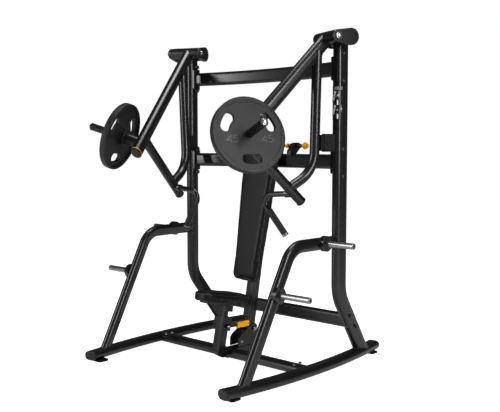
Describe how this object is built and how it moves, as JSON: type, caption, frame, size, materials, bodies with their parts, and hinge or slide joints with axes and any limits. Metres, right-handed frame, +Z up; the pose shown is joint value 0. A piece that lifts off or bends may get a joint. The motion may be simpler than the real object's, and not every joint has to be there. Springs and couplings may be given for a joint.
{
  "type": "chest press machine",
  "caption": "Plate-loaded vertical chest press with converging swing arms, adjustable seat, tilting backrest and plate storage horns.",
  "frame": {"origin": "floor level under the centre of the overall box", "axes": "+Z up, -Y towards the front where the user faces, +X to the machine's right seen from the front"},
  "size_m": [1.8, 1.5294, 2.135],
  "materials": {
    "frame_black": "satin textured powder coat",
    "cap_black": "satin moulded",
    "rubber": "matt",
    "chrome": "polished",
    "horn_black": "satin",
    "steel": "brushed",
    "grip_rubber": "fine ribbed",
    "accent_yellow": "gloss",
    "plate_grey": "satin enamel",
    "vinyl": "grained vinyl",
    "board": "painted"
  },
  "bodies": {
    "frame": {"back_bracket": "frame_black", "base_cross_tube": "frame_black", "base_spine": "frame_black", "beam_flanges": "frame_black", "left_base_rail": "frame_black", "left_front_leg": "frame_black", "left_pivot_bracket": "frame_black", "left_pivot_shaft": "steel", "left_stop_block": "frame_black", "left_storage_collars": "frame_black", "left_storage_horns": "chrome", "left_upright": "frame_black", "lower_beam": "frame_black", "middle_beam": "frame_black", "rack_guide": "frame_black", "rail_caps": "cap_black", "rail_feet": "rubber", "right_base_rail": "frame_black", "right_front_leg": "frame_black", "right_pivot_bracket": "frame_black", "right_pivot_shaft": "steel", "right_stop_block": "frame_black", "right_storage_collars": "frame_black", "right_storage_horns": "chrome", "right_upright": "frame_black", "seat_socket": "frame_black", "stop_rubbers": "rubber", "upper_beam": "frame_black"},
    "right_arm": {"right_arm_sleeve": "frame_black", "right_arm_front_tube": "frame_black", "right_arm_lower_tube": "frame_black", "right_arm_rear_tube": "frame_black", "right_arm_horn": "horn_black", "right_arm_caps": "cap_black", "right_handle": "frame_black", "right_handle_grip": "grip_rubber", "right_handle_end": "chrome"},
    "left_arm": {"left_arm_sleeve": "frame_black", "left_arm_front_tube": "frame_black", "left_arm_lower_tube": "frame_black", "left_arm_rear_tube": "frame_black", "left_arm_horn": "horn_black", "left_arm_caps": "cap_black", "left_handle": "frame_black", "left_handle_grip": "grip_rubber", "left_handle_end": "chrome"},
    "right_plate": {"right_weight_plate": "plate_grey"},
    "left_plate": {"left_weight_plate": "plate_grey"},
    "seat": {"seat_post": "frame_black", "seat_plate": "frame_black", "seat_pad": "vinyl"},
    "seat_lever": {"seat_lever": "frame_black", "lever_grip": "accent_yellow"},
    "backrest": {"back_post": "frame_black", "back_board": "board", "back_pad": "vinyl", "back_rack": "frame_black"},
    "pull_knob": {"pull_pin": "steel", "pull_knob": "accent_yellow"}
  },
  "joints": [
    {"name": "right_arm_swing", "type": "hinge", "parent": "frame", "child": "right_arm", "pos_m": [0.632, 0.153, 2.083], "axis": [-0.9299, 0.3678, 0], "range_deg": [0, 45]},
    {"name": "left_arm_swing", "type": "hinge", "parent": "frame", "child": "left_arm", "pos_m": [-0.632, 0.153, 2.083], "axis": [-0.9299, -0.3678, 0], "range_deg": [0, 45]},
    {"name": "right_plate_slide", "type": "slide", "parent": "right_arm", "child": "right_plate", "axis": [0.8727, -0.386, 0.2991], "range_m": [0, 0.205]},
    {"name": "left_plate_slide", "type": "slide", "parent": "left_arm", "child": "left_plate", "axis": [-0.8727, -0.386, 0.2991], "range_m": [0, 0.205]},
    {"name": "seat_height", "type": "slide", "parent": "frame", "child": "seat", "axis": [0, 0.2162, 0.9764], "range_m": [-0.012, 0.08]},
    {"name": "seat_lever_lift", "type": "hinge", "parent": "frame", "child": "seat_lever", "pos_m": [0.048, -0.13354, 0.23212], "axis": [1, 0, 0], "range_deg": [0, 15], "stiffness_Nm_per_rad": 3, "springref_deg": -20.05},
    {"name": "backrest_tilt", "type": "hinge", "parent": "frame", "child": "backrest", "pos_m": [0, 0.137, 0.172], "axis": [1, 0, 0], "range_deg": [0, 5]},
    {"name": "pull_knob_out", "type": "slide", "parent": "frame", "child": "pull_knob", "axis": [1, 0, 0], "range_m": [0, 0.014], "stiffness_N_per_m": 500, "springref_m": -0.01}
  ]
}
